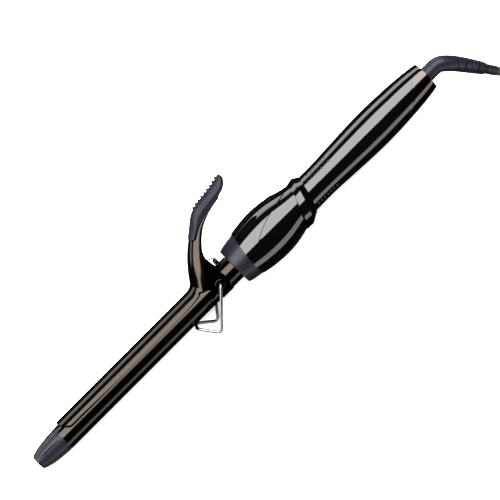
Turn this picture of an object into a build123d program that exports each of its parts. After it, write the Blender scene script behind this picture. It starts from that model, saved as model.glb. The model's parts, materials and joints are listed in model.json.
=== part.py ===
from build123d import *

import math
import os

# A spring-clamp curling iron with a 19 mm barrel, lying on its side on a table.
#
# The iron is laid out on its own axis first: X runs along the barrel towards the cord, Z points to
# the thumb lever, and X = 0 is the lever's pivot. lying() then turns the finished pieces onto their
# side, where the bulb, the nose and one corner of the stand touch the table at Z = 0. The origin is
# below the middle of the iron without its cord. The cord is laid out directly on that table.

# ---------------------------------------------------------------- driving dimensions, mm
BARREL_R = 9.5
BARREL_WALL = 1.0
BARREL_FRONT = -153.8
BARREL_BACK = 38.0
TIP_LENGTH = 25.3

SPOON_R = 11.4
SHEET = 1.1
SPOON_FRONT = -150.5
SPOON_HALF_ANGLE = 67.0
LEVER_SLOPE = 55.0
LEVER_BEND_X = -17.0
LEVER_STRAIGHT = 8.0

PIVOT_Z = 1.5
EYELET_R = 2.2
EYELET_HEAD_R = 3.7
FIT = 0.05
EAR_R = 7.3

WIRE_R = 1.17
LEG_Y = 13.9
CORNER_Z = -23.3
NEAR_CORNER_X = -23.2
FAR_CORNER_X = -20.0
APEX_X = -33.6
APEX_Z = -10.95

COLLAR_FRONT = 15.5
HANDLE_END = 205.4
SHELL_WALL = 2.2
BULB_LINE = [
    (24.0, 16.6),
    (34.8, 18.95),
    (41.0, 19.7),
    (48.5, 20.1),
    (57.2, 19.65),
    (62.9, 18.8),
    (68.5, 17.5),
    (74.0, 16.0),
    (79.0, 14.8),
    (84.0, 14.0),
]
NECK_LINE = [
    (80.0, 13.0),
    (96.0, 12.6),
    (106.0, 12.75),
    (119.0, 13.4),
    (135.0, 14.2),
    (155.0, 14.7),
    (170.0, 14.3),
    (187.0, 13.3),
    (198.0, 12.2),
    (HANDLE_END, 11.0),
]
# The flare ring: centre x and z, radius and tilt of its front, ridge and rear circles.
FLARE_RINGS = [(76.5, -1.4, 17.0, 19.7), (82.0, -1.05, 17.5, 18.0), (87.8, 0.2, 13.6, 14.7)]
SEAM_GAP = 0.07
COVER_GAP = 0.42
WINDOW_GAP = 0.1
SCREW_X = [60.0, 104.0, 150.0]
BUTTON_X = 67.4

HEATER_FRONT = -136.0
HEATER_BACK = -26.0
HEATER_R = BARREL_R - BARREL_WALL - 0.1
CORE_HALF_Z = 2.2

SPRING_X = 8.8
SPRING_Z = 12.3
SPRING_R = 1.3
SPRING_WIRE_R = 0.4

# The thumb rest's side view, with its upper and under faces, and its ribs and screw.
THUMB_TOP = [
    (5.9, 36.6),
    (10.5, 41.4),
    (15.8, 45.9),
    (21.1, 49.4),
    (26.0, 51.1),
    (33.0, 52.2),
    (41.0, 53.1),
    (48.0, 54.4),
    (51.5, 55.6),
]
THUMB_UNDER = [
    (53.4, 51.9),
    (49.0, 48.3),
    (44.0, 46.6),
    (37.0, 44.8),
    (31.4, 43.6),
    (23.2, 42.9),
    (16.5, 40.4),
    (9.0, 36.5),
]
THUMB_HALF_Y = 8.9
THUMB_ARCH_R = 13.5
THUMB_SCREW_X = 31.0
RIB_COUNT = 9
RIB_FIRST_X = 24.2
RIB_PITCH = 3.2

BOARD_Z = 7.8
BOARD_TOP = BOARD_Z + 1.2

SWIVEL_NECK_R = 4.9
SHAFT_R = 3.0
RING_STARTS = [187.2, 192.2]
RING_WIDTH = 2.4

STUB_R = 5.85
STUB_END = 212.9

# The iron lying on its side: its turn about the barrel, the rise of the handle and its place.
LIE_ROLL = 3.34 - 90
LIE_PITCH = -3.0
LIE_SHIFT = (-16.886, -17.154, 17.601)

CORD_R = 3.2
COIL_CENTRE = (308.5, -60.0)
COIL_INNER = 16.2
COIL_OUTER = 52.2
COIL_HEIGHT = 12.8
TIE_ANGLE = -60.0
PLUG_X = 354.0
PLUG_BACK_Y = -14.0
PLUG_THICKNESS = 13.7
PLUG_DEPTH = 35.5
PIN_R = 2.0
PIN_SPACING = 19.0
PIN_LENGTH = 19.0
PIN_ROOT = 0.3

# The middle of the strain relief from the swivel's stub to the cord, with its radius, on the table's axes.
RELIEF_LINE = [
    ((204.2, -20.6, 28.5), 5.75),
    ((210.2, -27.2, 26.6), 5.55),
    ((216.8, -36.0, 22.4), 5.2),
    ((222.7, -44.4, 17.7), 4.4),
]
# The middle of the cord from the strain relief to the coil, on the table's axes.
CORD_ROUTE = [
    RELIEF_LINE[-1][0],
    (234.4, -61.0, 8.4),
    (247.5, -79.5, CORD_R + 0.1),
    (262.5, -97.0, CORD_R + 0.1),
    (283.0, -108.0, CORD_R + 0.1),
    (309.0, -109.0, CORD_R + 0.1),
]
# The end of the cord from the coil to the plug.
PLUG_ROUTE = [(357.5, -70.0, 9.6), (357.2, -54.0, 9.2), (354.8, -39.0, 7.4), (354.0, -26.0, 6.85)]

# ---------------------------------------------------------------- shape helpers


def face_of(*lines):
    """A flat face bounded by the given lines, which meet end to end."""
    return make_face([edge for line in lines for edge in line.edges()])


def turned(*lines):
    """The solid of revolution about the iron's axis of a closed (x, radius) outline."""
    return revolve(Plane.XZ * face_of(*lines), Axis.X)


def spindle(points):
    """A turned solid whose outer line runs smoothly through (x, radius) points."""
    first, last = points[0], points[-1]
    rest = Polyline(last, (last[0], 0), (first[0], 0), first)
    return turned(Spline(*points), rest)


def rod(x0, x1, radius):
    """A round bar along the axis."""
    bar = Cylinder(radius, x1 - x0, align=(Align.CENTER, Align.CENTER, Align.MIN))
    return Pos(x0, 0, 0) * Rot(0, 90, 0) * bar


def ring(x0, x1, outer, inner):
    """A tube along the axis."""
    return rod(x0, x1, outer) - rod(x0 - 1, x1 + 1, inner)


def block(x0, x1, y0, y1, z0, z1):
    """A box from its lowest to its highest corner."""
    corner = (Align.MIN, Align.MIN, Align.MIN)
    return Pos(x0, y0, z0) * Box(x1 - x0, y1 - y0, z1 - z0, align=corner)


def slab(outline, y0, y1):
    """A side-view outline in (x, z), as thick as y0 to y1."""
    return extrude(Plane.XZ.offset(-y1) * outline, amount=y1 - y0)


def plate(outline, z0, z1):
    """A plan outline in (x, y), from z0 to z1."""
    return extrude(Plane.XY.offset(z0) * outline, amount=z1 - z0)


def upright_rod(x, z0, z1, radius):
    """A round bar on the middle plane, from z0 to z1."""
    return Pos(x, 0, z0) * Cylinder(radius, z1 - z0, align=(Align.CENTER, Align.CENTER, Align.MIN))


def cross_rod(x, z, y0, y1, radius):
    """A round bar across the iron, from y0 to y1."""
    return slab(Pos(x, z) * Circle(radius), y0, y1)


def both_sides(shape):
    """The shape and its mirror image across the iron's middle plane."""
    return [shape, mirror(shape, Plane.XZ)]


def joined(shapes):
    """One shape out of several that touch."""
    total = shapes[0]
    for shape in shapes[1:]:
        total = total + shape
    return total


def grown(points, amount):
    """The (x, radius) points with every radius changed by the same amount."""
    return [(x, r + amount) for x, r in points]


def wire(points, radius, corners):
    """A round wire along straight runs with rounded corners."""
    path = FilletPolyline(*points, radius=corners)
    section = Plane(origin=path @ 0, z_dir=path % 0) * Circle(radius)
    return sweep(section, path=path, transition=Transition.RIGHT)


# ---------------------------------------------------------------- barrel and tip


def barrel_tube():
    return ring(BARREL_FRONT, BARREL_BACK, BARREL_R, BARREL_R - BARREL_WALL)


def cool_tip():
    """The heat-resistant nose, with shallow finger flutes and a spigot inside the barrel."""
    front = BARREL_FRONT - TIP_LENGTH
    base = BARREL_FRONT - 0.05
    nose_r = 5.2
    points = [(front + 0.9, 6.1), (front + 5, 7.35), (front + 12, 8.55), (front + 19, 9.2), (base - 1.9, 9.44)]
    line = Spline(*points)
    round_nose = ThreePointArc((front, nose_r), (front + 0.22, 5.75), (front + 0.9, 6.1))
    rear = Polyline((base - 1.9, 9.44), (base - 1.9, 8.9), (base - 1.3, 8.9), (base - 1.3, 9.5), (base, 9.5))
    back = Polyline((base, 9.5), (base, 0), (front, 0), (front, nose_r))
    nose = turned(round_nose, line, rear, back)
    spigot = rod(base, base + 7, BARREL_R - BARREL_WALL - FIT)
    flute = Pos(front + 11.5, 0, 0) * Rot(0, -6.5, 0) * scale(Sphere(1), (11.0, 1.1, 1.0))
    for turn in range(6):
        nose = nose - Rot(60 * turn + 8, 0, 0) * Pos(0, 0, 8.15) * flute
    bore = rod(front - 1, base + 8, 1.25)
    recess = rod(front - 1, front + 14, 2.4)
    return nose + spigot - bore - recess


def tip_screw():
    """The screw that holds the nose, sunk in its front."""
    front = BARREL_FRONT - TIP_LENGTH + 11.5
    head = rod(front, front + 2.4, 2.2)
    slot = block(front - 1, front + 0.8, -0.4, 0.4, -3, 3)
    shank = rod(front + 2.4, BARREL_FRONT + 10.5, 1.2)
    return head - slot - Rot(90, 0, 0) * slot + shank


def tip_mount():
    """The steel disc pressed into the barrel's front, which takes the tip screw."""
    start = BARREL_FRONT + 7.1
    return ring(start, start + 4, BARREL_R - BARREL_WALL - 0.02, 1.25)


# ---------------------------------------------------------------- heater inside the barrel

def heater_half(sign):
    """One aluminium half, a D-shaped bar with a flat seat for the heater core."""
    bar = rod(HEATER_FRONT, HEATER_BACK, HEATER_R)
    low, high = (CORE_HALF_Z, 10) if sign > 0 else (-10, -CORE_HALF_Z)
    return bar & block(HEATER_FRONT, HEATER_BACK, -10, 10, low, high)


def core_insulation():
    """The folded polyimide film around the heater core."""
    outer = block(HEATER_FRONT + 2, HEATER_BACK - 2, -7.2, 7.2, -CORE_HALF_Z + 0.03, CORE_HALF_Z - 0.03)
    inner = block(HEATER_FRONT, HEATER_BACK, -6.6, 6.6, -1.6, 1.6)
    return outer - inner


def ptc_plates():
    """Five ceramic heating plates in a row."""
    length = 19.6
    pitch = 20.4
    start = HEATER_FRONT + 4
    return [block(start + i * pitch, start + i * pitch + length, -6, 6, -1.1, 1.1) for i in range(5)]


def electrode(sign):
    """A thin metal strip on one face of the plates, with a tail for its lead."""
    low, high = (1.13, 1.53) if sign > 0 else (-1.53, -1.13)
    strip = block(HEATER_FRONT + 4, HEATER_BACK + 1, -6, 6, low, high)
    side = 3.0 * sign
    tail = block(HEATER_BACK + 1, HEATER_BACK + 7, side - 1.2, side + 1.2, low, high)
    return strip + tail


def thermistor():
    """The glass temperature sensor in its tube, lying behind the heater."""
    return Pos(0, 0, 5.4) * (rod(-25.5, -17.5, 1.4) + rod(-17.5, -12.5, 0.5))


def thermal_fuse():
    """The one-shot thermal cut-off, in line with one heater lead."""
    return Pos(0, 0, -5.2) * (rod(-24.5, -13.5, 1.9) + rod(-13.5, -10.5, 0.6))


def heater_lead(sign):
    """A sleeved lead from one electrode back to the circuit board."""
    side = 3.0 * sign
    start = (HEATER_BACK + 7.05, side, 1.3 * sign)
    points = [start, (20, side, 0), (36.5, side * 1.5, 1.6), (42, side * 2.8, 6.5)]
    return wire(points, 1.0, [30, 8])


def barrel_bush():
    """The heat-resisting bush that centres the hot barrel in the handle."""
    hub = ring(COLLAR_FRONT + 2.2, 36, 12.0, BARREL_R)
    flange = ring(30.6, 33.0, 15.6, BARREL_R)
    windows = [Rot(45 + 90 * i, 0, 0) * block(30, 34, -3, 3, 12.6, 14.4) for i in range(4)]
    return joined([hub, flange]) - windows


# ---------------------------------------------------------------- clamp, lever and pivot


def u_section(x, z, slope, radius, leg):
    """The lever's channel section: a round crown at (x, z) and two straight legs below it."""
    inner = radius - SHEET
    outer_arc = ThreePointArc((-radius, 0), (0, radius), (radius, 0))
    inner_arc = ThreePointArc((inner, 0), (0, inner), (-inner, 0))
    right = Polyline((radius, 0), (radius, -leg), (inner, -leg), (inner, 0))
    left = Polyline((-inner, 0), (-inner, -leg), (-radius, -leg), (-radius, 0))
    return section_place(x, z, slope, radius) * face_of(outer_arc, right, inner_arc, left)


def solid_section(x, z, slope, radius, leg):
    """The same outline filled in, a little larger, for cutting room for the lever."""
    wide = radius + FIT
    arc = ThreePointArc((-wide, 0), (0, wide), (wide, 0))
    rest = Polyline((wide, 0), (wide, -leg), (-wide, -leg), (-wide, 0))
    return section_place(x, z, slope, radius) * face_of(arc, rest)


def section_place(x, z, slope, radius):
    """The plane across the lever at a crown point, with its origin at the crown's centre."""
    a = math.radians(slope)
    forward = (math.cos(a), 0, math.sin(a))
    up = (-math.sin(a), 0, math.cos(a))
    origin = (x - radius * up[0], 0, z - radius * up[2])
    return Plane(origin=origin, x_dir=(0, 1, 0), z_dir=forward)


def lever_stations():
    """Crown x and z, slope and radius along the lever, from the end of its straight root to its tip."""
    a = math.radians(LEVER_SLOPE)
    root_end = (LEVER_BEND_X + LEVER_STRAIGHT * math.cos(a), SPOON_R + LEVER_STRAIGHT * math.sin(a))
    return [
        (*root_end, LEVER_SLOPE, SPOON_R),
        (-8.6, 22.9, 51.0, 11.0),
        (-4.3, 27.9, 47.0, 10.1),
        (0.6, 32.7, 42.5, 9.1),
        (6.2, 37.3, 37.5, 8.1),
        (13.0, 41.9, 31.0, 7.1),
        (21.0, 45.4, 23.0, 6.4),
        (31.0, 48.2, 12.0, 6.0),
        (44.0, 49.5, 4.0, 5.8),
    ]


def lever_outline():
    """The side view that trims the channel: the rear edge, the ear and the bend."""
    ear_front = Spline((-13.9, 7.0), (-10.6, 6.0), (-8.2, 3.9), (-EAR_R, PIVOT_Z - 0.6))
    bottom = ThreePointArc((-EAR_R, PIVOT_Z - 0.6), (0, PIVOT_Z - EAR_R), (EAR_R, PIVOT_Z - 0.6))
    rear = Spline(
        (EAR_R, PIVOT_Z - 0.6),
        (6.1, 8.5),
        (5.2, 16.0),
        (6.4, 24.5),
        (10.8, 30.6),
        (18.0, 36.8),
        (29.0, 42.0),
        (42.0, 44.6),
    )
    crown_side = Polyline((42.0, 44.6), (42.0, 60.0), (-4, 60.0), bend_at(15.0), bend_at(7.0), (-13.9, 7.0))
    return face_of(ear_front, bottom, rear, crown_side)


def bend_at(z):
    """The point at height z on the mitre line between the spoon and the lever."""
    return (LEVER_BEND_X - (z - SPOON_R) * math.tan(math.radians(LEVER_SLOPE / 2)), z)


def spoon():
    """The half-tube that presses the hair onto the barrel, with a rounded front end."""
    shell = ring(SPOON_FRONT, 0, SPOON_R, SPOON_R - SHEET)
    half_y = SPOON_R * math.sin(math.radians(SPOON_HALF_ANGLE))
    edge_z = SPOON_R * math.cos(math.radians(SPOON_HALF_ANGLE))
    nose_x = SPOON_FRONT + half_y
    nose = ThreePointArc((nose_x, -half_y), (SPOON_FRONT, 0), (nose_x, half_y))
    sides = Polyline((nose_x, half_y), (0, half_y), (0, -half_y), (nose_x, -half_y))
    above = plate(face_of(nose, sides), edge_z, SPOON_R + 1)
    side_points = [(-200, edge_z), (-42, edge_z), (-25, edge_z + 0.6), (-13.9, 7.0)]
    side_edge = Spline(*side_points, tangents=[(1, 0), (1, 0.5)])
    rest = Polyline((-13.9, 7.0), bend_at(7.0), bend_at(15.0), (-200, 15.0), (-200, edge_z))
    return shell & above & slab(face_of(side_edge, rest), -20, 20)


def clamp_lever():
    """The spoon, the bent-up lever channel and the two ears, pressed from one sheet."""
    stations = lever_stations()
    trim = slab(lever_outline(), -20, 20)
    root = extrude(u_section(*stations[0], 34.0), amount=-LEVER_STRAIGHT - 12)
    channel = loft([u_section(*station, 24.0) for station in stations])
    channel = (root & trim) + (channel & trim)
    pivot_holes = cross_rod(0, PIVOT_Z, -20, 20, EYELET_R + FIT)
    screw_hole = upright_rod(THUMB_SCREW_X, 44, 53, 1.0)
    return spoon() + channel - pivot_holes - screw_hole


def thumb_top(x):
    """The height of the thumb rest's upper face at x."""
    for (x0, z0), (x1, z1) in zip(THUMB_TOP, THUMB_TOP[1:]):
        if x <= x1:
            return z0 + (z1 - z0) * (x - x0) / (x1 - x0)
    return THUMB_TOP[-1][1]


def arch(x_low, x_high, drop):
    """Everything below an arched upper face that follows the thumb rest's top line."""
    faces = []
    for x, z in [(x_low, thumb_top(x_low))] + THUMB_TOP[1:-1] + [(x_high, thumb_top(x_high))]:
        half = THUMB_HALF_Y + 1
        side = z - drop - THUMB_ARCH_R + math.sqrt(THUMB_ARCH_R**2 - half**2)
        crown = ThreePointArc((-half, side), (0, z - drop), (half, side))
        sides = Polyline((half, side), (half, 25), (-half, 25), (-half, side))
        faces.append(Plane(origin=(x, 0, 0), x_dir=(0, 1, 0), z_dir=(1, 0, 0)) * face_of(crown, sides))
    return loft(faces)


def thumb_rest():
    """The moulded rest clipped over the lever's end, arched across, with nine cross ribs."""
    tail = ThreePointArc(THUMB_TOP[-1], (53.8, 54.2), THUMB_UNDER[0])
    tip = Line(THUMB_UNDER[-1], THUMB_TOP[0])
    side_view = face_of(Spline(*THUMB_TOP), tail, Spline(*THUMB_UNDER), tip)
    body = slab(side_view, -THUMB_HALF_Y, THUMB_HALF_Y) & arch(THUMB_TOP[0][0] - 2, 55.0, 0.05)
    rear = ThreePointArc((47.0, -THUMB_HALF_Y), (54.5, 0), (47.0, THUMB_HALF_Y))
    front = ThreePointArc((9.0, THUMB_HALF_Y), (4.5, 0), (9.0, -THUMB_HALF_Y))
    near = Line((9.0, -THUMB_HALF_Y), (47.0, -THUMB_HALF_Y))
    far = Line((47.0, THUMB_HALF_Y), (9.0, THUMB_HALF_Y))
    body = body & plate(face_of(rear, far, front, near), 25, 65)
    tongue = loft([solid_section(*station, 20.0) for station in lever_stations()[2:]])
    screw_hole = upright_rod(THUMB_SCREW_X, 45.0, 51.5, 0.85)
    return body - tongue + [rib(i) for i in range(RIB_COUNT)] - screw_hole


def rib(index):
    """One cross rib standing on the thumb rest."""
    x = RIB_FIRST_X + RIB_PITCH * index
    slope = math.degrees(math.atan2(thumb_top(x + 1) - thumb_top(x - 1), 2))
    half = 6.6 - 0.25 * abs(index - 4)
    inner, outer = THUMB_ARCH_R - 1.0, THUMB_ARCH_R + 1.25
    wedge = Pos(0, THUMB_ARCH_R) * Rectangle(2 * half, 2 * THUMB_ARCH_R)
    bow = (Circle(outer) - Circle(inner)) & wedge
    bar = extrude(Plane.YZ * bow, amount=0.7, both=True)
    bar = fillet(bar.edges().filter_by(GeomType.CIRCLE).group_by(SortBy.RADIUS)[-1], 0.6)
    return Pos(x, 0, thumb_top(x)) * Rot(0, -slope, 0) * Pos(0, 0, -THUMB_ARCH_R) * bar


def thumb_screw():
    """The screw that holds the thumb rest, driven from under the lever."""
    head = upright_rod(THUMB_SCREW_X, 44.2, 46.2, 2.0)
    slot = block(THUMB_SCREW_X - 3, THUMB_SCREW_X + 3, -0.3, 0.3, 43.0, 45.0)
    return head - slot + upright_rod(THUMB_SCREW_X, 46.2, 51.0, 0.8)


def pivot_bracket():
    """The band around the barrel that carries the two pivots."""
    band = ring(-5.2, 5.2, 10.05, BARREL_R)
    bosses = both_sides(cross_rod(0, PIVOT_Z, 8.0, 10.22, 3.6))
    bore = rod(-10, 10, BARREL_R)
    holes = both_sides(cross_rod(0, PIVOT_Z, 9.0, 12.0, EYELET_R))
    return joined([band] + bosses) - bore - joined(holes)


def pivot_eyelets():
    """The two hollow rivets that the lever turns on and the stand's ends turn in."""
    shank = cross_rod(0, PIVOT_Z, 9.85, 11.6, EYELET_R)
    head = cross_rod(0, PIVOT_Z, 11.5, 12.4, EYELET_HEAD_R)
    head = fillet(head.edges().filter_by(GeomType.CIRCLE).sort_by(Axis.Y)[-1], 0.5)
    bore = cross_rod(0, PIVOT_Z, 10.05, 13.0, WIRE_R + FIT)
    keep = cross_rod(0, PIVOT_Z, 9.5, 20, 5) - rod(-10, 10, BARREL_R + 0.02)
    return both_sides((shank + head - bore) & keep)


def stand_wire():
    """The bent wire stand, which rests against the barrel's underside."""
    points = [
        (0, -10.3, PIVOT_Z),
        (0, -LEG_Y, PIVOT_Z),
        (NEAR_CORNER_X, -LEG_Y - 0.4, CORNER_Z),
        (APEX_X, -7.5, APEX_Z),
        (APEX_X + 1.2, 7.5, APEX_Z),
        (FAR_CORNER_X, LEG_Y + 0.4, CORNER_Z),
        (0, LEG_Y, PIVOT_Z),
        (0, 10.3, PIVOT_Z),
    ]
    return wire(points, WIRE_R, [2.0, 2.6, 4.5, 4.5, 2.6, 2.0])


def lever_spring():
    """The torsion spring between the barrel and the underside of the lever."""
    pitch = 0.95
    turns = 9
    half = pitch * turns / 2
    coil_line = Helix(pitch=pitch, height=2 * half, radius=SPRING_R)
    section = Plane(origin=coil_line @ 0, z_dir=coil_line % 0) * Circle(SPRING_WIRE_R)
    coil = Pos(SPRING_X, half, SPRING_Z) * Rot(90, 0, 0) * sweep(section, path=coil_line, is_frenet=True)
    rear_x = SPRING_X + SPRING_R
    z = SPRING_Z
    up_line = [(rear_x, half, z - 0.3), (rear_x - 0.6, half - 0.1, z + 2.2), (-6.2, 3.0, 21.0)]
    flat_line = [(rear_x, -half, z + 0.3), (rear_x - 0.1, -half, z - 1.0), (14.3, -half, z - 1.35)]
    up_leg = wire(up_line, SPRING_WIRE_R, [1.0])
    flat_leg = wire(flat_line, SPRING_WIRE_R, [0.4])
    return coil + up_leg + flat_leg


def spring_seat():
    """The clip on the barrel that the spring's lower leg presses on."""
    band = ring(5.3, 14.9, 10.3, BARREL_R)
    return band & slab(Pos(10, 12.9) * Rectangle(12, 10), -6.0, 6.0)


# ---------------------------------------------------------------- collar and handle


def front_cut():
    """The side view of everything behind the line where the handle meets its collar."""
    arc = ThreePointArc((31.7, 22), (26.7, 0), (28.2, -22))
    return face_of(arc, Polyline((28.2, -22), (260, -22), (260, 22), (31.7, 22)))


def cap_cut():
    """The side view of the end cap, behind its slanting front edge."""
    edge = Spline(
        (204.0, 17.0),
        (199.8, 11.8),
        (194.2, 5.2),
        (187.9, -2.3),
        (176.5, -8.8),
        (165.5, -14.6),
        (161.0, -18.0),
    )
    return face_of(edge, Polyline((161.0, -18.0), (260, -18), (260, 17), (204.0, 17.0)))


def cover_cut(gap):
    """The side view of the control cover, above its seam."""
    rear = 80.5 - gap
    heights = [(31.0, 0), (35.0, 2.3), (48.3, 9.7), (61.5, 12.9), (75.5, 14.0)]
    seam = Spline(*[(x, z + gap) for x, z in heights], (rear, 14.4))
    return face_of(seam, Polyline((rear, 14.4), (rear, 25), (20, 25), (20, gap), (31.0, gap)))


def front_collar():
    """The soft-touch ring between the barrel and the handle."""
    nose = ThreePointArc((COLLAR_FRONT, 13.9), (COLLAR_FRONT + 0.3, 14.6), (COLLAR_FRONT + 1.0, 14.95))
    line = Spline((COLLAR_FRONT + 1.0, 14.95), (19.0, 15.7), (25.0, 16.75), (33.0, 18.1))
    outer = turned(nose, line, Polyline((33.0, 18.1), (33.0, 0), (COLLAR_FRONT, 0), (COLLAR_FRONT, 13.9)))
    x0 = COLLAR_FRONT + 2.1
    room = turned(Polyline((x0, 0), (x0, 13.1), (34.0, 16.1), (34.0, 0), (x0, 0)))
    shape = outer - room - rod(0, 40, BARREL_R + 0.08)
    return shape - slab(front_cut(), -30, 30)


def flare():
    """The slanting ring between the bulb and the grip."""
    circles = []
    for x, z, radius, tilt in FLARE_RINGS:
        a = math.radians(tilt)
        plane = Plane(origin=(x, 0, z), x_dir=(0, 1, 0), z_dir=(math.cos(a), 0, -math.sin(a)))
        circles.append(plane * Circle(radius))
    return loft(circles, ruled=True)


def handle_outside():
    return spindle(BULB_LINE) + flare() + spindle(NECK_LINE)


def handle_room():
    """The hollow inside the handle, closed by the end wall."""
    bulb = spindle(grown(BULB_LINE, -SHELL_WALL))
    neck = spindle(grown(NECK_LINE, -SHELL_WALL))
    return bulb + (neck & block(70, 203.1, -20, 20, -20, 20))


def handle_skin():
    """The whole hollow handle, before it is divided into its mouldings."""
    return handle_outside() - handle_room() & slab(front_cut(), -30, 30)


def handle_shell_lower():
    """The lower moulding, with the bosses that the case screws pass through."""
    skin = handle_skin() - slab(cap_cut(), -30, 30)
    outside = handle_outside() & block(40, 170, -30, 30, -30, -SEAM_GAP)
    shape = skin & block(20, 210, -30, 30, -30, -SEAM_GAP)
    for x in SCREW_X:
        shape = shape + (upright_rod(x, -30, -0.6, 3.6) & outside)
        shape = shape - upright_rod(x, -30, -7.0, 2.75) - upright_rod(x, -8, 1, 1.45)
    return shape


def handle_shell_upper():
    """The upper moulding behind and beside the control cover."""
    skin = handle_skin() - slab(cap_cut(), -30, 30)
    outside = handle_outside() & block(90, 170, -30, 30, 0.6, 30)
    shape = skin & block(20, 210, -30, 30, SEAM_GAP, 30)
    shape = shape - slab(cover_cut(0.0), -30, 30)
    for x in SCREW_X[1:]:
        shape = shape + (upright_rod(x, 0.6, 30, 3.0) & outside) - upright_rod(x, 0, 7.0, 1.2)
    return shape


def window_outline(gap):
    """The display window in plan: straight sides and a pointed rear end."""
    half = 6.2 - gap
    nose = ThreePointArc((33.5, -half), (32.0 + gap, 0), (33.5, half))
    upper = Spline((33.5, half), (44.0, half), (50.5, half * 0.55), (54.5 - gap, 0))
    lower = Spline((54.5 - gap, 0), (50.5, -half * 0.55), (44.0, -half), (33.5, -half))
    return face_of(nose, upper, lower)


def button_outline(gap):
    """The power button in plan: a rounded triangle pointing to the cord."""
    points = [(64.6, 5.6), (64.6, -5.6), (73.0, 0.0)]
    corner = 1.9
    outline = fillet(make_face(Polyline(*points, points[0]).edges()).vertices(), corner)
    return offset(outline, -gap) if gap else outline


def control_cover():
    """The glossy cover on top of the bulb, with openings for the window and the button."""
    shape = handle_skin() & slab(cover_cut(COVER_GAP), -30, 30)
    outside = handle_outside() & block(50, 70, -30, 30, 0.4, 30)
    boss = upright_rod(SCREW_X[0], 0.4, 30, 2.8) & outside
    shape = shape + boss - upright_rod(SCREW_X[0], 0, 8.0, 1.2)
    return shape - plate(window_outline(0.0), 5, 30) - plate(button_outline(0.0), 5, 30)


def display_window():
    """The dark clear window over the temperature display."""
    return handle_skin() & plate(window_outline(WINDOW_GAP), 8, 30)


def power_button():
    """The push button, crowned a little above the cover, on a stem over its switch."""
    crown = spindle(grown(BULB_LINE, 0.35)) & plate(button_outline(0.13), 15.4, 30)
    stem = upright_rod(BUTTON_X, 13.8, 16.0, 1.7)
    return crown + stem


def end_cap():
    """The metallic cap with a slanting front edge and the hole for the cord swivel."""
    return handle_skin() & slab(cap_cut(), -30, 30) - rod(190, 220, SWIVEL_NECK_R + 0.07)


# ---------------------------------------------------------------- electronics

def circuit_board():
    """The control board under the cover, with a hole for the cover's boss."""
    corners = [(38.5, -12), (61, -12), (76.5, -7), (76.5, 7), (61, 12), (38.5, 12), (38.5, -12)]
    outline = make_face(Polyline(*corners).edges())
    return plate(outline, BOARD_Z, BOARD_TOP) - upright_rod(SCREW_X[0], 0, 20, 3.2)


def display_module():
    """The numeric display below the window."""
    return block(39.0, 54.0, -5.2, 5.2, BOARD_TOP, 14.2)


def button_switch():
    """The tact switch that the power button presses."""
    body = block(BUTTON_X - 3, BUTTON_X + 3, -3, 3, BOARD_TOP, 12.2)
    return body + upright_rod(BUTTON_X, 12.2, 12.9, 1.6)


def board_components():
    """The capacitor, triac, fuse and controller chip on the board's underside."""
    clip = block(30, 70, -20, 20, -5, BOARD_Z)
    capacitor = clip & (Pos(45.6, 0, 2.9) * Rot(90, 0, 0) * Cylinder(4.6, 8.2))
    triac = block(52.0, 56.0, -7.6, 2.4, -1.5, BOARD_Z)
    chip = block(65.5, 72.5, -3.5, 3.5, 6.0, BOARD_Z)
    fuse = clip & (Pos(53.0, 8.2, 5.2) * Rot(0, 90, 0) * Cylinder(2.4, 12))
    return [capacitor, triac, chip, fuse]


def mains_lead(sign):
    """A sleeved lead from the swivel's brushes to the board."""
    side = 5.6 * sign
    points = [
        (183.9, side, -3.0),
        (166, side, -3.4),
        (112, side, -3.0),
        (92, side, -0.5),
        (80, side * 0.95, 3.4),
        (73.0, side * 0.8, 6.6),
    ]
    return wire(points, 1.0, [60, 60, 40, 40])


# ---------------------------------------------------------------- cord swivel

def swivel_housing():
    """The brush carrier fixed in the handle's rear end."""
    body = ring(184.0, 197.6, 9.6, SHAFT_R + 1.9)
    slots = []
    for start in RING_STARTS:
        slots.append(block(start - 0.05, start + RING_WIDTH + 0.05, -1.25, 1.25, -8.5, 8.5))
    return body - slots


def brushes():
    """Two pairs of copper brushes, one pair to each slip ring."""
    found = []
    for start in RING_STARTS:
        found.append(block(start, start + RING_WIDTH, -1.2, 1.2, 4.32, 8.45))
        found.append(block(start, start + RING_WIDTH, -1.2, 1.2, -8.45, -4.32))
    return found


def slip_rings():
    return [ring(start, start + RING_WIDTH, 4.25, SHAFT_R) for start in RING_STARTS]


def swivel_rotor():
    """The turning core: slip-ring shaft, retaining flange and the stub the cord leaves by."""
    shaft = rod(185.0, 199.4, SHAFT_R)
    flange = rod(199.4, 203.0, 7.8)
    neck = rod(203.0, 205.6, SWIVEL_NECK_R)
    stub = fillet(rod(205.55, STUB_END, STUB_R).edges().sort_by(Axis.X)[-1], 0.3)
    return joined([shaft, flange, neck, stub]) - rod(184, 214, 1.6)


def case_screws():
    """The three self-tapping screws that close the handle."""
    found = []
    for x in SCREW_X:
        head = upright_rod(x, -9.2, -7.05, 2.6)
        cross = block(x - 1.6, x + 1.6, -0.35, 0.35, -10, -8.2)
        cross += block(x - 0.35, x + 0.35, -1.6, 1.6, -10, -8.2)
        found.append(head - cross + upright_rod(x, -7.05, 6.4, 1.15))
    return found


# ---------------------------------------------------------------- cord, coil and plug


def lying(shape):
    """A piece of the iron, turned onto its side on the table."""
    return Pos(*LIE_SHIFT) * Rot(0, LIE_PITCH, 0) * Rot(LIE_ROLL, 0, 0) * shape


def lying_point(x, y, z):
    """The place on the table's axes of a point given on the iron's own axes."""
    return lying(Vertex(x, y, z)).center()


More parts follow.
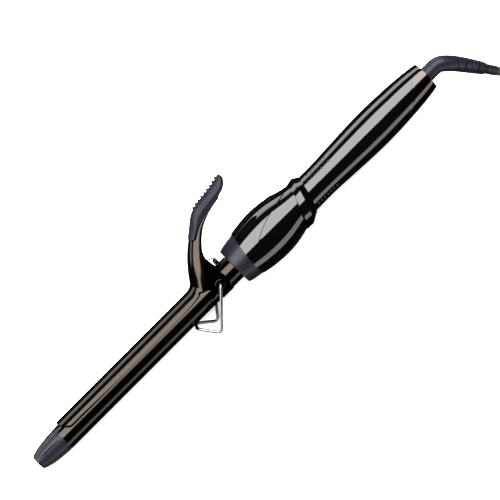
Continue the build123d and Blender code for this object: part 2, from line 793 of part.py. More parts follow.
def strain_relief():
    """The tapered rubber sleeve on the swivel's stub, bent down towards the table by the cord."""
    start = lying_point(STUB_END + 0.1, 0, 0)
    straight = start - lying_point(STUB_END - 0.9, 0, 0)
    points = [start] + [Vector(*point) for point, radius in RELIEF_LINE]
    radii = [STUB_R] + [radius for point, radius in RELIEF_LINE]
    leave = points[-1] - points[-2]
    middle = Spline(*points, tangents=[straight, leave])
    stations = [middle.param_at_point(point) for point in points]
    planes = [Plane(origin=middle @ t, z_dir=middle % t) for t in stations]
    rings = [plane * Circle(radius) for plane, radius in zip(planes, radii)]
    return loft(rings)


def corner_radii(points):
    """The bend radius at each inner point: as large as the shorter of its two runs allows."""
    radii = []
    for before, here, after in zip(points, points[1:], points[2:]):
        run_in = Vector(*here) - Vector(*before)
        run_out = Vector(*after) - Vector(*here)
        turn = math.radians(run_in.get_angle(run_out))
        radii.append(0.45 * min(run_in.length, run_out.length) / math.tan(turn / 2))
    return radii


def laid_cord(points):
    """A stretch of the cord along straight runs joined by arcs."""
    radii = corner_radii(points)
    print("cord radii", [round(radius, 1) for radius in radii])
    return wire(points, CORD_R, radii)


def cord_tube():
    """The cord from the strain relief to the coil, and from the coil to the plug."""
    return [laid_cord(CORD_ROUTE), laid_cord(PLUG_ROUTE)]


def coil_section(grow):
    """The rounded section of the wound turns, to one side of the coil's axis."""
    width = COIL_OUTER - COIL_INNER + 2 * grow
    middle = Pos((COIL_OUTER + COIL_INNER) / 2, COIL_HEIGHT / 2 + 1.0)
    return Plane.XZ * middle * RectangleRounded(width, COIL_HEIGHT + 2 * grow, CORD_R + grow)


def tie_place():
    return Pos(*COIL_CENTRE, 0) * Rot(0, 0, TIE_ANGLE)


def cord_tie():
    """The fabric strap that holds the turns together, flat on the table below them."""
    strap = Pos(0, 6, 0) * extrude(coil_section(0.95) - coil_section(0.25), amount=12)
    return tie_place() * strap


def cord_coil():
    """The wound turns as one ring, with room below them for the strap."""
    ring_of_turns = Pos(*COIL_CENTRE, -1.0) * revolve(coil_section(0), Axis.Z)
    room = block(COIL_INNER - 2, COIL_OUTER + 2, -6.4, 6.4, -1, 0.85)
    sides = block(COIL_INNER - 2, COIL_OUTER + 2, -6.4, 6.4, -1, 20)
    sides -= Pos(0, 7, 0) * extrude(coil_section(-0.6), amount=14)
    return ring_of_turns - tie_place() * room - tie_place() * sides


def plug_body():
    """A flat two-pin plug with a short sleeve, lying on the table."""
    half = 17.6
    y0 = PLUG_BACK_Y
    y1 = y0 + PLUG_DEPTH
    left = [(-7.5, y0), (-half, y0 + 17), (-half, y1 - 4.5), (-15.2, y1)]
    right = [(-x, y) for x, y in reversed(left)]
    outline = Polyline(*left, *right, left[0])
    body = plate(fillet(make_face(outline.edges()).vertices(), 1.8), 0, PLUG_THICKNESS)
    flat_edges = body.edges().group_by(Axis.Z)
    body = fillet(flat_edges[0] + flat_edges[-1], 1.6)
    collar = loft([Plane.XZ.offset(-y0 - 1) * Circle(5.6), Plane.XZ.offset(-y0 + 12) * Circle(4.1)])
    body = body + Pos(0, 0, PLUG_THICKNESS / 2) * collar
    return Pos(PLUG_X, 0, 0) * body - plug_pins()


def plug_pins():
    """The two round pins, each with its foot inside the body."""
    face_y = PLUG_BACK_Y + PLUG_DEPTH
    pins = []
    for side in (-0.5, 0.5):
        x, z = side * PIN_SPACING, PLUG_THICKNESS / 2
        foot = cross_rod(x, z, face_y - 8, face_y + PIN_ROOT, PIN_R - 0.2)
        pin = cross_rod(x, z, face_y + PIN_ROOT, face_y + PIN_LENGTH, PIN_R)
        pin = fillet(pin.edges().filter_by(GeomType.CIRCLE).sort_by(Axis.Y)[-1], 1.4)
        pins.append(Pos(PLUG_X, 0, 0) * (foot + pin))
    return pins


# ---------------------------------------------------------------- output


def cord_nodes():
    """The cord's pieces, laid out on the table's axes."""
    return {
        "strain_relief": strain_relief(),
        "cord_tube": cord_tube(),
        "cord_coil": cord_coil(),
        "cord_tie": cord_tie(),
        "plug_body": plug_body(),
        "plug_pins": plug_pins(),
    }


def iron_nodes():
    """Every piece of the iron itself, still on the iron's own axis."""
    return {
        "barrel_tube": barrel_tube(),
        "cool_tip": cool_tip(),
        "tip_screw": tip_screw(),
        "tip_mount": tip_mount(),
        "heater_half_upper": heater_half(1),
        "heater_half_lower": heater_half(-1),
        "heater_insulation": core_insulation(),
        "ptc_plates": ptc_plates(),
        "electrode_upper": electrode(1),
        "electrode_lower": electrode(-1),
        "thermistor": thermistor(),
        "thermal_fuse": thermal_fuse(),
        "heater_lead_left": heater_lead(1),
        "heater_lead_right": heater_lead(-1),
        "barrel_bush": barrel_bush(),
        "clamp_lever": clamp_lever(),
        "thumb_rest": thumb_rest(),
        "thumb_screw": thumb_screw(),
        "pivot_bracket": pivot_bracket(),
        "pivot_eyelets": pivot_eyelets(),
        "stand_wire": stand_wire(),
        "lever_spring": lever_spring(),
        "spring_seat": spring_seat(),
        "front_collar": front_collar(),
        "handle_shell_upper": handle_shell_upper(),
        "handle_shell_lower": handle_shell_lower(),
        "control_cover": control_cover(),
        "display_window": display_window(),
        "power_button": power_button(),
        "end_cap": end_cap(),
        "circuit_board": circuit_board(),
        "display_module": display_module(),
        "button_switch": button_switch(),
        "board_components": board_components(),
        "mains_lead_left": mains_lead(1),
        "mains_lead_right": mains_lead(-1),
        "swivel_housing": swivel_housing(),
        "brushes": brushes(),
        "slip_rings": slip_rings(),
        "swivel_rotor": swivel_rotor(),
        "case_screws": case_screws(),
    }


def grouped(shape):
    """One shape for a node, whether it was made as one piece or as a list of pieces."""
    if isinstance(shape, list):
        return Compound(children=[solid for piece in shape for solid in piece.solids()])
    return shape


if __name__ == "__main__":
    os.makedirs("parts", exist_ok=True)
    for name, shape in iron_nodes().items():
        export_step(lying(grouped(shape)), f"parts/{name}.step")
    for name, shape in cord_nodes().items():
        export_step(grouped(shape), f"parts/{name}.step")
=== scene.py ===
import json
import math

import bmesh
import bpy
from mathutils import Matrix, Vector
from mathutils.bvhtree import BVHTree


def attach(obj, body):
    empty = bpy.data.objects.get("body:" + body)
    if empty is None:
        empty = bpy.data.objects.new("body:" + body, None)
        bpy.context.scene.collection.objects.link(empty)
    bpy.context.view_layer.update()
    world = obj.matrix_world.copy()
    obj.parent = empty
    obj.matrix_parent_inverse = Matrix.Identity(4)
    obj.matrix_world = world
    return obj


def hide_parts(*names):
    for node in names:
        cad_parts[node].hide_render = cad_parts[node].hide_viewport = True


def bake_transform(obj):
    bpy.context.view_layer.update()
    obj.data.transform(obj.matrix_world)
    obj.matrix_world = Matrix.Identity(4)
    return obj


# A curling iron lying on its side on a pale table, seen nearly from above. Blender works in metres. Named
# lengths are in millimetres unless they say otherwise, and MM turns them into metres.

MM = 0.001
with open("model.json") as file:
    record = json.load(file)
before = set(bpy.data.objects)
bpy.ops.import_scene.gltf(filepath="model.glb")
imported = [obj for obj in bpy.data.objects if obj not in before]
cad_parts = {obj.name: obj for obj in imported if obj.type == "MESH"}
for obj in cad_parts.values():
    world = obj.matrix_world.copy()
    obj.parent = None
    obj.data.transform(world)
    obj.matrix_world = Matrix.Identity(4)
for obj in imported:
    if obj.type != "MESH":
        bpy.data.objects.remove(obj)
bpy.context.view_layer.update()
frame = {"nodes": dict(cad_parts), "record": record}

# ---------------------------------------------------------------- the iron's own axes
# X runs along the barrel's middle towards the cord, Y is the lever's hinge, Z points to the lever, and the
# origin is level with the hinge.

JOINTS = {joint["name"]: joint for joint in frame["record"]["behaviour"]["joints"]}
HINGE_Z = 1.5
IRON_X = Vector(JOINTS["cord_swivel"]["axis"])
IRON_Y = Vector(JOINTS["clamp_hinge"]["axis"])
IRON_Z = IRON_X.cross(IRON_Y)
IRON_ORIGIN = Vector(JOINTS["clamp_hinge"]["pos_m"]) - HINGE_Z * MM * IRON_Z


def on_iron(x, y, z):
    """The place in the shared frame of a point given in millimetres on the iron's own axes."""
    return IRON_ORIGIN + MM * (x * IRON_X + y * IRON_Y + z * IRON_Z)


# ---------------------------------------------------------------- camera

CAMERA_TILT = math.radians(15)
CAMERA_ROLL = math.radians(45)
CAMERA_METRES = 1.607
CAMERA_LENS = 164.7
CAMERA_SENSOR = 36
CAMERA_CLIP_METRES = (0.01, 30)
CAMERA_AIM = (31.6, 0, 0)
CAMERA_AIM_UP = 0.7


def add_camera():
    """Side-on to the iron, a little from the lever's side, with the iron running up to the right."""
    forward = math.cos(CAMERA_TILT) * IRON_Y - math.sin(CAMERA_TILT) * IRON_Z
    level_up = math.sin(CAMERA_TILT) * IRON_Y + math.cos(CAMERA_TILT) * IRON_Z
    right = math.cos(CAMERA_ROLL) * IRON_X - math.sin(CAMERA_ROLL) * level_up
    up = math.sin(CAMERA_ROLL) * IRON_X + math.cos(CAMERA_ROLL) * level_up
    aim = on_iron(*CAMERA_AIM) + CAMERA_AIM_UP * MM * level_up
    place = Matrix((right, up, -forward)).transposed().to_4x4()
    place.translation = aim - CAMERA_METRES * forward
    data = bpy.data.cameras.new("camera")
    data.lens = CAMERA_LENS
    data.sensor_width = CAMERA_SENSOR
    data.clip_start, data.clip_end = CAMERA_CLIP_METRES
    camera = bpy.data.objects.new("camera", data)
    camera.matrix_world = place
    bpy.context.collection.objects.link(camera)
    bpy.context.scene.camera = camera


add_camera()

# ---------------------------------------------------------------- cord

CORD_R = 3.2
LYING_Z = CORD_R + 0.1
# The sleeve's control points in the shared frame, then the cord's, which starts where the sleeve's own end.
RELIEF_LINE = [(204.2, -20.6, 28.5), (210.2, -27.2, 26.6), (216.8, -36.0, 22.4), (222.7, -44.4, 17.7)]
CORD_ROUTE = [
    RELIEF_LINE[-1],
    (234.4, -61.0, 8.4),
    (247.5, -79.5, LYING_Z),
    (262.5, -97.0, LYING_Z),
    (283.0, -108.0, LYING_Z),
]
PLUG_ROUTE = [(357.2, -54.0, 9.2), (354.8, -39.0, 7.4), (354.0, -26.0, 6.85)]
CORD_RESOLUTION = 8
CORD_BEVEL_STEPS = 6
LINE_RESOLUTION = 48

COIL_CENTRE = (308.5, -60.0)
COIL_OUTER_TURN = 49.0
COIL_PITCH = 6.45
# Where the coil starts, in degrees, then its parts in turns: inwards, up a layer, and the last one out.
COIL_START = -90.0
COIL_IN = 4.6
COIL_CLIMB = 0.4
COIL_LAST = 0.65
COIL_STEPS = 24
# The strap holds the turns at this angle, in degrees, and they rise over it within this spread.
TIE_ANGLE = -60.0
TIE_SPREAD = 22.0
TIE_LIFT = 1.0


def coil_points():
    """Two flat layers of turns: inwards on the table, then outwards on top of the first."""
    inner = COIL_OUTER_TURN - COIL_PITCH * COIL_IN
    turns = 2 * COIL_IN + COIL_CLIMB + COIL_LAST
    low, high = LYING_Z, LYING_Z + 2 * CORD_R
    points = []
    for step in range(round(turns * COIL_STEPS) + 1):
        turn = step / COIL_STEPS
        climb = min(max((turn - COIL_IN) / COIL_CLIMB, 0), 1)
        outward = min(max(turn - COIL_IN - COIL_CLIMB, 0), COIL_IN)
        radius = COIL_OUTER_TURN - COIL_PITCH * turn if turn < COIL_IN else inner + COIL_PITCH * outward
        angle = COIL_START + 360 * turn
        away = (angle - TIE_ANGLE + 180) % 360 - 180
        lift = TIE_LIFT * math.exp(-((away / TIE_SPREAD) ** 2))
        z = low + (high - low) * (3 - 2 * climb) * climb * climb + lift
        a = math.radians(angle)
        x, y = COIL_CENTRE[0] + radius * math.cos(a), COIL_CENTRE[1] + radius * math.sin(a)
        points.append((x, y, z))
    return points


def smooth_curve(name, points, radius, resolution):
    """A smooth NURBS spline with control points and a radius in millimetres, and no bevel yet."""
    data = bpy.data.curves.new(name, "CURVE")
    data.dimensions = "3D"
    data.resolution_u = resolution
    spline = data.splines.new("NURBS")
    spline.points.add(len(points) - 1)
    for point, place in zip(spline.points, points):
        point.co = (*(MM * Vector(place)), 1)
        point.radius = radius * MM
    spline.order_u = 3
    spline.use_endpoint_u = True
    curve = bpy.data.objects.new(name, data)
    bpy.context.collection.objects.link(curve)
    return curve


def add_cord(sleeve):
    """The mains cord, from the sleeve down to the table, round its coil and up to its plug."""
    cord = smooth_curve("mains_cord", CORD_ROUTE + coil_points() + PLUG_ROUTE, CORD_R, CORD_RESOLUTION)
    # The radius is in the points, and the bevel only multiplies it.
    cord.data.bevel_depth = 1.0
    cord.data.bevel_resolution = CORD_BEVEL_STEPS
    cord.data.use_fill_caps = True
    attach(cord, "iron")
    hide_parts("cord_tube", "cord_coil")
    paint(cord, "cord_jacket")


# ---------------------------------------------------------------- moulded and pressed pieces

SHARP_ANGLE = math.radians(35)
WELD = 1e-4


def finished_piece(name, bm, slot, *nodes):
    """Turns a closed bmesh into a smooth-shaded piece of a record slot that replaces CAD nodes."""
    bmesh.ops.recalc_face_normals(bm, faces=bm.faces)
    for edge in bm.edges:
        edge.smooth = edge.calc_face_angle() < SHARP_ANGLE
    for face in bm.faces:
        face.smooth = True
    mesh = bpy.data.meshes.new(name)
    bm.to_mesh(mesh)
    bm.free()
    if "custom_normal" in mesh.attributes:
        mesh.attributes.remove(mesh.attributes["custom_normal"])
    piece = bpy.data.objects.new(name, mesh)
    bpy.context.collection.objects.link(piece)
    paint(piece, slot)
    if nodes:
        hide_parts(*nodes)
    return piece


def from_node(name):
    """A bmesh of a CAD node, with its split corners joined."""
    bm = bmesh.new()
    bm.from_mesh(frame["nodes"][name].data)
    bmesh.ops.remove_doubles(bm, verts=bm.verts, dist=WELD * MM)
    return bm


def angles_round(count):
    """Evenly spaced angles of a full turn."""
    return [math.tau * i / count for i in range(count)]


def add_rings(bm, rings):
    """Skins a row of equal closed rings of points in metres, and caps both ends."""
    rows = [[bm.verts.new(point) for point in ring] for ring in rings]
    count = len(rows[0])
    for row, after in zip(rows, rows[1:]):
        for i in range(count):
            j = (i + 1) % count
            bm.faces.new((row[i], row[j], after[j], after[i]))
    bm.faces.new(rows[0][::-1])
    bm.faces.new(rows[-1])


def evaluated_mesh(piece):
    """A mesh of an object as its modifiers or its spline give it."""
    depsgraph = bpy.context.evaluated_depsgraph_get()
    return bpy.data.meshes.new_from_object(piece.evaluated_get(depsgraph))


def line_of(points):
    """The places, in millimetres, along the NURBS spline of control points in millimetres."""
    curve = smooth_curve("line", points, 0, LINE_RESOLUTION)
    places = [vertex.co / MM for vertex in evaluated_mesh(curve).vertices]
    bpy.data.objects.remove(curve)
    return places


# The sleeve starts straight behind the swivel's rotor, turns towards the table, and ends along the cord.
BOOT_START_X = 212.92
BOOT_TURN_X = 216.5
BOOT_LENGTH = 54.8
BOOT_SIDES = 72
# Distance along the sleeve and its radius there.
BOOT_PROFILE = [(0, 5.85), (12, 5.8), (24, 5.45), (33, 5.1), (40, 4.75), (43, 4.4), (44.3, 3.6)]
SLOT_FIRST = 18.0
SLOT_PITCH = 2.9
SLOT_WIDTH = 1.1
SLOT_WALL = 0.3
SLOT_DEPTH = 1.5
SLOT_COUNT = 8
# A slot reaches round to where the cosine of the angle from its middle is this, and fades over the second.
SLOT_ROUND = 0.38
SLOT_FADE = 0.1


def along(profile, distance):
    """A value read off a row of (distance, value) pairs."""
    for (d0, v0), (d1, v1) in zip(profile, profile[1:]):
        if distance <= d1:
            return v0 + (v1 - v0) * max(distance - d0, 0) / (d1 - d0)
    return profile[-1][1]


def slot_depth(distance, angle):
    """How deep the sleeve's bending slots cut here: pairs of opposite slots, turned a quarter each row."""
    row = round((distance - SLOT_FIRST) / SLOT_PITCH)
    if not 0 <= row < SLOT_COUNT:
        return 0
    off = abs(distance - SLOT_FIRST - row * SLOT_PITCH)
    inside = min(max(((SLOT_WIDTH + SLOT_WALL) / 2 - off) / SLOT_WALL, 0), 1)
    facing = abs(math.cos(angle + (row % 2) * math.pi / 2))
    return SLOT_DEPTH * inside * min(max((facing - SLOT_ROUND) / SLOT_FADE, 0), 1)


def strain_relief():
    """The slotted rubber sleeve that leads the cord out of the swivel and down to the table."""
    straight = [on_iron(x, 0, 0) / MM for x in (BOOT_START_X, BOOT_TURN_X)]
    places = line_of([*straight, *RELIEF_LINE, *CORD_ROUTE[1:3]])
    side = IRON_Y.copy()
    distance = 0
    rings = []
    for before, place, after in zip(places[:1] + places, places, places[1:]):
        distance += (place - before).length
        if distance > BOOT_LENGTH:
            break
        tangent = (after - place).normalized()
        side = (side - side.dot(tangent) * tangent).normalized()
        up = tangent.cross(side)
        ring = []
        for a in angles_round(BOOT_SIDES):
            radius = along(BOOT_PROFILE, distance) - slot_depth(distance, a)
            ring.append(MM * (place + radius * (math.cos(a) * side + math.sin(a) * up)))
        rings.append(ring)
    bm = bmesh.new()
    add_rings(bm, rings)
    piece = finished_piece("slotted_sleeve", bm, "slate_moulding", "strain_relief")
    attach(piece, "iron")
    return piece


BEND_X = -17.0
BEND_Z = 11.4
BEND_ANGLE = math.radians(55)
# How far the bend reaches along the spoon and along the lever.
BEND_REACH = 4.5
BEND_CUTS = 14


def bent_clamp():
    """The clamp with the spoon running into its lever through a rolled bend instead of a mitre."""
    spoon_way = IRON_X
    lever_way = math.cos(BEND_ANGLE) * IRON_X + math.sin(BEND_ANGLE) * IRON_Z
    normal = (spoon_way + lever_way).normalized()
    share = normal.dot(spoon_way)
    corner = on_iron(BEND_X, 0, BEND_Z)
    reach = BEND_REACH * MM
    bm = from_node("clamp_lever")
    for i in range(-BEND_CUTS // 2, BEND_CUTS // 2 + 1):
        place = corner + normal * (share * reach * 2 * i / BEND_CUTS)
        geometry = [*bm.verts, *bm.edges, *bm.faces]
        bmesh.ops.bisect_plane(bm, geom=geometry, plane_co=place, plane_no=normal, dist=WELD * MM)
    for vertex in bm.verts:
        run = (vertex.co - corner).dot(normal) / share
        if abs(run) < reach:
            t = (run + reach) / (2 * reach)
            start = vertex.co - run * (spoon_way if run < 0 else lever_way)
            vertex.co = start + reach * (t * t * lever_way - (1 - t) ** 2 * spoon_way)
    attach(finished_piece("pressed_clamp", bm, "black_chrome", "clamp_lever"), "clamp")


def winding_spring():
    """The torsion spring, with its coil on the barrel and its long leg along the lever."""
    spring = finished_piece("winding_spring", from_node("lever_spring"), "pivot_bronze", "lever_spring")
    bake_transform(spring)


# The thumb rest's voxels, how far out its shoulders start, and how often they, and then all of it, are
# smoothed.
REST_GRAIN = 0.3
REST_SHOULDER_Y = 7.0
REST_SHOULDER_PASSES = 14
REST_PASSES = 2


def soft_thumb_rest():
    """The thumb rest as one soft moulding: its long edges well rounded, its ribs only a little."""
    welded = bpy.data.meshes.new("rest_welded")
    bm = from_node("thumb_rest")
    bm.to_mesh(welded)
    bm.free()
    work = bpy.data.objects.new("rest_work", welded)
    bpy.context.collection.objects.link(work)
    remesh = work.modifiers.new("remesh", "REMESH")
    remesh.mode = "VOXEL"
    remesh.voxel_size = REST_GRAIN * MM
    even = evaluated_mesh(work)
    bpy.data.objects.remove(work)
    bm = bmesh.new()
    bm.from_mesh(even)
    shoulders = [v for v in bm.verts if abs((v.co - IRON_ORIGIN).dot(IRON_Y)) > REST_SHOULDER_Y * MM]
    every_way = {"use_axis_x": True, "use_axis_y": True, "use_axis_z": True}
    for verts in [shoulders] * REST_SHOULDER_PASSES + [bm.verts[:]] * REST_PASSES:
        bmesh.ops.smooth_vert(bm, verts=verts, factor=0.5, **every_way)
    piece = finished_piece("soft_thumb_rest", bm, "slate_moulding", "thumb_rest")
    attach(piece, "clamp")


EASE = 0.16
EASE_STEPS = 2
# The least cosine between a face's normal and the way outwards, where the face is on the outside.
OUTWARD = 0.8


def faces_outwards(edge):
    """Whether an edge lies on the outside of the handle."""
    middle = (edge.verts[0].co + edge.verts[1].co) / 2 - IRON_ORIGIN
    radial = (middle - middle.dot(IRON_X) * IRON_X).normalized()
    return max(face.normal.dot(radial) for face in edge.link_faces) > OUTWARD


def eased_moulding(name, node, slot):
    """A handle moulding with its outer edges eased, so that its seams catch the light."""
    bm = from_node(node)
    edges = [edge for edge in bm.edges if edge.calc_face_angle() > SHARP_ANGLE and faces_outwards(edge)]
    size = {"offset": EASE * MM, "segments": EASE_STEPS, "profile": 0.5, "clamp_overlap": True}
    bmesh.ops.bevel(bm, geom=edges, affect="EDGES", **size)
    bmesh.ops.remove_doubles(bm, verts=bm.verts, dist=WELD * MM)
    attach(finished_piece(name, bm, slot, node), "iron")


# Rows of grip dots: first x, count, pitch, angle from the lever's side, and the dots' radius.
DOT_ROWS = [
    (94.0, 7, 3.35, 47.5, 0.75),
    (97.0, 6, 3.3, 25.0, 0.6),
    (89.0, 7, 3.0, 130.0, 0.75),
]
DOT_HEIGHT = 0.8
DOT_SIDES = 16
# The rings of a dot, in degrees up its dome from a little below the surface.
DOT_RINGS = range(-15, 85, 19)
RAY_START_METRES = 0.05


def dome(place, outward, radius):
    """The rings of a low dome on a surface point, for a radius in millimetres."""
    side = outward.orthogonal().normalized()
    up = outward.cross(side)
    rings = []
    for degrees in DOT_RINGS:
        b = math.radians(degrees)
        ring_radius, height = radius * math.cos(b), DOT_HEIGHT * radius * math.sin(b)
        centre = place + MM * height * outward
        ring = [math.cos(c) * side + math.sin(c) * up for c in angles_round(DOT_SIDES)]
        rings.append([centre + MM * ring_radius * way for way in ring])
    return rings


def grip_dots():
    """Small domes moulded on both sides of the handle's neck."""
    bm = bmesh.new()
    shells = []
    for name in ("handle_shell_upper", "handle_shell_lower"):
        shell = from_node(name)
        shells.append(BVHTree.FromBMesh(shell))
        shell.free()
    for first, count, pitch, degrees, radius in DOT_ROWS:
        a = math.radians(degrees)
        for i, mirror in [(i, mirror) for i in range(count) for mirror in (-1, 1)]:
            away = mirror * math.sin(a) * IRON_Y + math.cos(a) * IRON_Z
            start = on_iron(first + pitch * i, 0, 0) + RAY_START_METRES * away
            hits = [shell.ray_cast(start, -away) for shell in shells]
            hit = min((hit for hit in hits if hit[0] is not None), key=lambda hit: hit[3])
            place, outward = hit[0], hit[1]
            if outward.dot(away) < 0:
                outward = -outward
            add_rings(bm, dome(place, outward, radius))
    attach(finished_piece("grip_dots", bm, "gloss_black"), "iron")


# ---------------------------------------------------------------- materials

# The values that noise mostly stays between.
NOISE_SPAN = (0.3, 0.7)


def shader(name, colour, roughness, **inputs):
    """A new material, its Principled shader with constant values on its own sockets, and its node tree."""
    material = bpy.data.materials.new(name)
    material.use_nodes = True
    tree = material.node_tree
    principled = tree.nodes["Principled BSDF"]
    principled.inputs["Base Color"].default_value = (*colour, 1)
    principled.inputs["Roughness"].default_value = roughness
    for key, value in inputs.items():
        principled.inputs[key.replace("_", " ")].default_value = value
    return material, principled, tree


def grain(tree, scale, detail=2.0):
    """Noise in the piece's own coordinates, in features per metre."""
    coordinates = tree.nodes.new("ShaderNodeTexCoord")
    noise = tree.nodes.new("ShaderNodeTexNoise")
    noise.inputs["Scale"].default_value = scale
    noise.inputs["Detail"].default_value = detail
    tree.links.new(coordinates.outputs["Object"], noise.inputs["Vector"])
    return noise.outputs["Fac"]


def vary(tree, principled, source, low, high):
    """Varies the roughness between low and high by a texture."""
    span = tree.nodes.new("ShaderNodeMapRange")
    span.inputs["From Min"].default_value, span.inputs["From Max"].default_value = NOISE_SPAN
    span.inputs["To Min"].default_value = low
    span.inputs["To Max"].default_value = high
    tree.links.new(source, span.inputs["Value"])
    tree.links.new(span.outputs["Result"], principled.inputs["Roughness"])


def tint(tree, principled, source, dark, light):
    """Mottles the base colour between two colours by a texture."""
    ramp = tree.nodes.new("ShaderNodeValToRGB")
    for element, position, colour in zip(ramp.color_ramp.elements, NOISE_SPAN, (dark, light)):
        element.position = position
        element.color = (*colour, 1)
    tree.links.new(source, ramp.inputs["Fac"])
    tree.links.new(ramp.outputs["Color"], principled.inputs["Base Color"])


def roughen(tree, principled, source, depth):
    """Raises the surface by a texture, by a depth in millimetres."""
    bump = tree.nodes.new("ShaderNodeBump")
    bump.inputs["Strength"].default_value = 1.0
    bump.inputs["Distance"].default_value = depth * MM
    tree.links.new(source, bump.inputs["Height"])
    tree.links.new(bump.outputs["Normal"], principled.inputs["Normal"])


def black_chrome():
    """The dark, warm, mirror-like coating on the barrel and the clamp."""
    material, principled, tree = shader("black_chrome", (0.023, 0.0195, 0.016), 0.12, Metallic=1.0)
    vary(tree, principled, grain(tree, 90, 4), 0.09, 0.17)
    tint(tree, principled, grain(tree, 14), (0.0205, 0.0172, 0.0138), (0.026, 0.0222, 0.0186))
    return material


def gloss_black():
    """The high-gloss black mouldings of the handle."""
    material, principled, tree = shader("gloss_black", (0.0007, 0.0007, 0.0008), 0.05, IOR=1.5)
    vary(tree, principled, grain(tree, 60, 3), 0.03, 0.08)
    return material


def slate(name):
    """The satin blue-grey of the tip, collar, thumb rest, sleeve and swivel."""
    finish = {"IOR": 1.27, "Specular_Tint": (0.88, 0.92, 1, 1)}
    material, principled, tree = shader(name, (0.006, 0.0063, 0.0092), 0.33, **finish)
    tint(tree, principled, grain(tree, 300, 3), (0.0048, 0.0051, 0.0074), (0.0072, 0.0076, 0.011))
    vary(tree, principled, grain(tree, 700), 0.27, 0.38)
    roughen(tree, principled, grain(tree, 2600), 0.03)
    return material


def smoked_window():
    """The dark, glassy lens over the display."""
    material, principled, tree = shader("smoked_window", (0.0015, 0.0015, 0.002), 0.03, IOR=1.52)
    vary(tree, principled, grain(tree, 50), 0.015, 0.04)
    return material


def polished(name, colour, low, high, scale):
    """A plated or bare metal with faint handling marks."""
    material, principled, tree = shader(name, colour, low, Metallic=1.0)
    vary(tree, principled, grain(tree, scale, 4), low, high)
    return material


def matte(name, dark, light, roughness, scale):
    """A plain moulded or baked material with a fine mottle."""
    material, principled, tree = shader(name, light, roughness)
    tint(tree, principled, grain(tree, scale, 3), dark, light)
    roughen(tree, principled, grain(tree, scale * 6), 0.03)
    return material


def cord_jacket():
    """The satin dark grey jacket of the cord."""
    material, principled, tree = shader("cord_jacket", (0.016, 0.017, 0.022), 0.45, IOR=1.4)
    tint(tree, principled, grain(tree, 220, 3), (0.013, 0.014, 0.018), (0.02, 0.021, 0.027))
    roughen(tree, principled, grain(tree, 1800), 0.04)
    return material


MATERIALS = {
    "black_chrome": black_chrome(),
    "slate_moulding": slate("slate_moulding"),
    "gloss_black": gloss_black(),
    "smoked_window": smoked_window(),
    "cap_chrome": polished("cap_chrome", (0.052, 0.045, 0.041), 0.07, 0.14, 90),
    "pivot_bronze": polished("pivot_bronze", (0.034, 0.026, 0.02), 0.2, 0.34, 500),
    "chromed_wire": polished("chromed_wire", (0.14, 0.139, 0.137), 0.06, 0.14, 500),
    "bright_steel": polished("bright_steel", (0.66, 0.65, 0.62), 0.14, 0.28, 700),
    "heater_aluminium": polished("heater_aluminium", (0.75, 0.75, 0.76), 0.3, 0.45, 400),
    "film_insulation": matte("film_insulation", (0.5, 0.24, 0.03), (0.62, 0.33, 0.05), 0.3, 200),
    "heater_ceramic": matte("heater_ceramic", (0.42, 0.38, 0.33), (0.55, 0.5, 0.44), 0.7, 400),
    "electrode_metal": polished("electrode_metal", (0.7, 0.68, 0.62), 0.3, 0.42, 400),
    "sensor_glass": matte("sensor_glass", (0.6, 0.5, 0.35), (0.75, 0.68, 0.5), 0.1, 300),
    "lead_sleeve": matte("lead_sleeve", (0.55, 0.53, 0.48), (0.72, 0.7, 0.64), 0.75, 900),
    "board_laminate": matte("board_laminate", (0.02, 0.13, 0.05), (0.03, 0.2, 0.08), 0.35, 300),
    "component_body": matte("component_body", (0.015, 0.015, 0.018), (0.03, 0.03, 0.034), 0.5, 500),
    "swivel_plastic": slate("swivel_plastic"),
    "contact_copper": polished("contact_copper", (0.75, 0.42, 0.24), 0.2, 0.35, 500),
    "cord_jacket": cord_jacket(),
    "strap_fabric": matte("strap_fabric", (0.01, 0.01, 0.011), (0.03, 0.03, 0.033), 0.9, 1500),
    "plug_rubber": matte("plug_rubber", (0.014, 0.0145, 0.018), (0.021, 0.022, 0.027), 0.5, 500),
    "plug_brass": polished("plug_brass", (0.8, 0.76, 0.66), 0.15, 0.28, 600),
}


def paint(piece, name):
    """Gives a new piece the material of a record slot."""
    piece.data.materials.clear()
    piece.data.materials.append(MATERIALS[name])


def paint_frame():
    """Every CAD node takes the material of its slot."""
    for subpart in frame["record"]["subparts"]:
        piece = frame["nodes"][subpart["node"]]
        for slot in piece.material_slots:
            slot.material = MATERIALS[subpart["material_slot"]]


# ---------------------------------------------------------------- floor and lights

STRIP_METRES = 3.0
STRIP_AWAY_METRES = 1.0
# Each long light: the angles in degrees from the camera's direction towards the lever where it starts and
# ends, and its radiance.
STRIPS = [(3.4, 53.5, 11.5), (80.0, 106.0, 5.5), (-84.0, -60.0, 3.6)]
FLOOR_METRES = 6.0
FLOOR_GLOW = 0.6
WORLD_GREY = 0.015
BACKDROP_GREY = 0.95


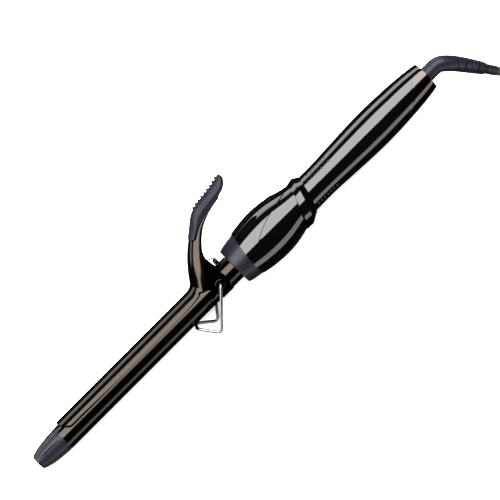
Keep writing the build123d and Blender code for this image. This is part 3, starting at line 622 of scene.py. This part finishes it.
def strip_light(number, start, end, radiance):
    """A long soft light parallel to the barrel, which draws one bright line along it."""
    middle = math.radians((start + end) / 2) + CAMERA_TILT
    half = math.radians((end - start) / 2)
    direction = -math.cos(middle) * IRON_Y + math.sin(middle) * IRON_Z
    width = 2 * STRIP_AWAY_METRES * math.tan(half)
    data = bpy.data.lights.new(f"strip_{number}", "AREA")
    data.shape = "RECTANGLE"
    data.size = STRIP_METRES
    data.size_y = width
    data.energy = radiance * math.pi * STRIP_METRES * width
    light = bpy.data.objects.new(f"strip_{number}", data)
    across = direction.cross(IRON_X)
    place = Matrix((IRON_X, -across, direction)).transposed().to_4x4()
    place.translation = on_iron(*CAMERA_AIM) + STRIP_AWAY_METRES * direction
    light.matrix_world = place
    light.visible_camera = False
    bpy.context.collection.objects.link(light)


def add_floor():
    """A large white floor that glows a little, so that it stays pale, and shows in no reflection."""
    far = FLOOR_METRES
    mesh = bpy.data.meshes.new("floor")
    mesh.from_pydata([(-far, -far, 0), (far, -far, 0), (far, far, 0), (-far, far, 0)], [], [(0, 1, 2, 3)])
    floor = bpy.data.objects.new("floor", mesh)
    bpy.context.collection.objects.link(floor)
    material, principled, tree = shader("floor_white", (0.9, 0.9, 0.9), 0.9, Emission_Strength=FLOOR_GLOW)
    principled.inputs["Emission Color"].default_value = (1, 1, 1, 1)
    tint(tree, principled, grain(tree, 3), (0.88, 0.88, 0.88), (0.92, 0.92, 0.92))
    mesh.materials.append(material)
    floor.visible_glossy = False
    floor.visible_shadow = False


def add_world():
    """A pale backdrop for the camera, and near darkness for the reflections between the lights."""
    world = bpy.data.worlds.new("studio")
    world.use_nodes = True
    bpy.context.scene.world = world
    nodes, links = world.node_tree.nodes, world.node_tree.links
    dark = nodes["Background"]
    dark.inputs["Color"].default_value = (WORLD_GREY, WORLD_GREY, WORLD_GREY, 1)
    pale = nodes.new("ShaderNodeBackground")
    pale.inputs["Color"].default_value = (BACKDROP_GREY, BACKDROP_GREY, BACKDROP_GREY, 1)
    rays = nodes.new("ShaderNodeLightPath")
    mix = nodes.new("ShaderNodeMixShader")
    links.new(rays.outputs["Is Camera Ray"], mix.inputs[0])
    links.new(dark.outputs[0], mix.inputs[1])
    links.new(pale.outputs[0], mix.inputs[2])
    links.new(mix.outputs[0], nodes["World Output"].inputs["Surface"])


def add_stage():
    """The lights, the floor and the world round the iron."""
    for number, (start, end, radiance) in enumerate(STRIPS):
        strip_light(number, start, end, radiance)
    add_floor()
    add_world()
    bpy.context.scene.view_settings.view_transform = "Standard"


add_cord(strain_relief())
bent_clamp()
winding_spring()
soft_thumb_rest()
grip_dots()
eased_moulding("plated_end_cap", "end_cap", "cap_chrome")
paint_frame()
add_stage()
